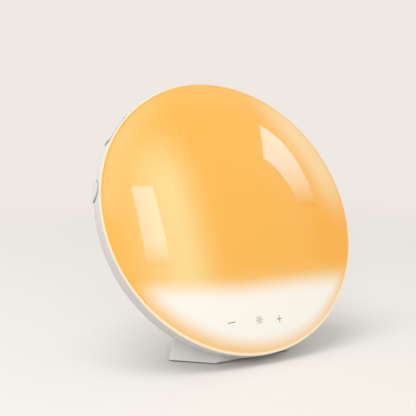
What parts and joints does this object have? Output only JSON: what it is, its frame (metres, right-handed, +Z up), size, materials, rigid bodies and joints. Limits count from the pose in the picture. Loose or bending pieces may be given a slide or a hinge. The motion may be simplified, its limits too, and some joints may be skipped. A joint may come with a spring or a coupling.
{
  "type": "sunrise alarm clock",
  "caption": "Round glowing sunrise alarm clock: opal domed disc leaning back on a faceted stand, with side push keys and a touch row.",
  "frame": {"origin": "on the table, under the middle of the outline's box", "axes": "+Z up, the glowing front faces -Y and leans back, +X to the right as seen from the front"},
  "size_m": [0.19, 0.0967, 0.177],
  "materials": {
    "opal_plastic": "glossy opal dome, lit warm orange from behind",
    "white_plastic": "white, fine satin",
    "base_plastic": "pale grey, matt",
    "film_plastic": "milky diffusing film",
    "reflector_plastic": "bright white",
    "led_yellow": "yellow phosphor resin",
    "circuit_board": "green solder mask",
    "black_plastic": "black moulded plastic",
    "foam": "dark foam",
    "paper_cone": "coated paper",
    "copper_wire": "enamelled copper wire",
    "capacitor_sleeve": "dark blue sleeve",
    "steel": "zinc plated",
    "brass": "plated contact",
    "ballast_steel": "rolled steel plate",
    "rubber": "grey rubber"
  },
  "bodies": {
    "clock": {"front_diffuser": "opal_plastic", "diffuser_film": "film_plastic", "reflector_tray": "reflector_plastic", "led_board": "reflector_plastic", "led_chips": "led_yellow", "display_module": "reflector_plastic", "display_segments": "led_yellow", "touch_board": "circuit_board", "touch_foam_pads": "foam", "touch_board_screws": "steel", "tray_screws": "steel", "rear_housing": "white_plastic", "speaker_grille": "white_plastic", "speaker_gasket": "foam", "speaker_basket": "black_plastic", "speaker_magnet": "steel", "speaker_surround": "foam", "speaker_screws": "steel", "main_board": "circuit_board", "board_chips": "black_plastic", "board_capacitors": "capacitor_sleeve", "board_header": "black_plastic", "coin_cell_holder": "black_plastic", "coin_cell": "steel", "dc_inlet": "black_plastic", "dc_inlet_pin": "brass", "main_board_screws": "steel", "key_boards": "circuit_board", "key_switches": "black_plastic", "key_board_screws": "steel", "stand_shell": "white_plastic", "stand_base_plate": "base_plastic", "ballast_plate": "ballast_steel", "base_screws": "steel", "ballast_screws": "steel", "stand_bolts": "steel", "foot_pads": "rubber"},
    "power_button": {"power_button": "white_plastic", "power_plunger": "black_plastic"},
    "upper_key": {"upper_key": "white_plastic", "upper_key_plunger": "black_plastic"},
    "lower_key": {"lower_key": "white_plastic", "lower_key_plunger": "black_plastic"},
    "speaker_cone": {"speaker_cone": "paper_cone", "dust_cap": "paper_cone", "voice_coil": "copper_wire"}
  },
  "joints": [
    {"name": "power_button_press", "type": "slide", "parent": "clock", "child": "power_button", "axis": [0.9242, -0.364, -0.1157], "range_m": [0, 0.0006], "stiffness_N_per_m": 1500},
    {"name": "upper_key_press", "type": "slide", "parent": "clock", "child": "upper_key", "axis": [0.643, -0.433, -0.6317], "range_m": [0, 0.0006], "stiffness_N_per_m": 1500},
    {"name": "lower_key_press", "type": "slide", "parent": "clock", "child": "lower_key", "axis": [0.643, -0.433, -0.6317], "range_m": [0, 0.0006], "stiffness_N_per_m": 1500},
    {"name": "speaker_cone_slide", "type": "slide", "parent": "clock", "child": "speaker_cone", "axis": [0, 0.8965, -0.4431], "range_m": [-0.0006, 0.0006], "stiffness_N_per_m": 1500}
  ]
}
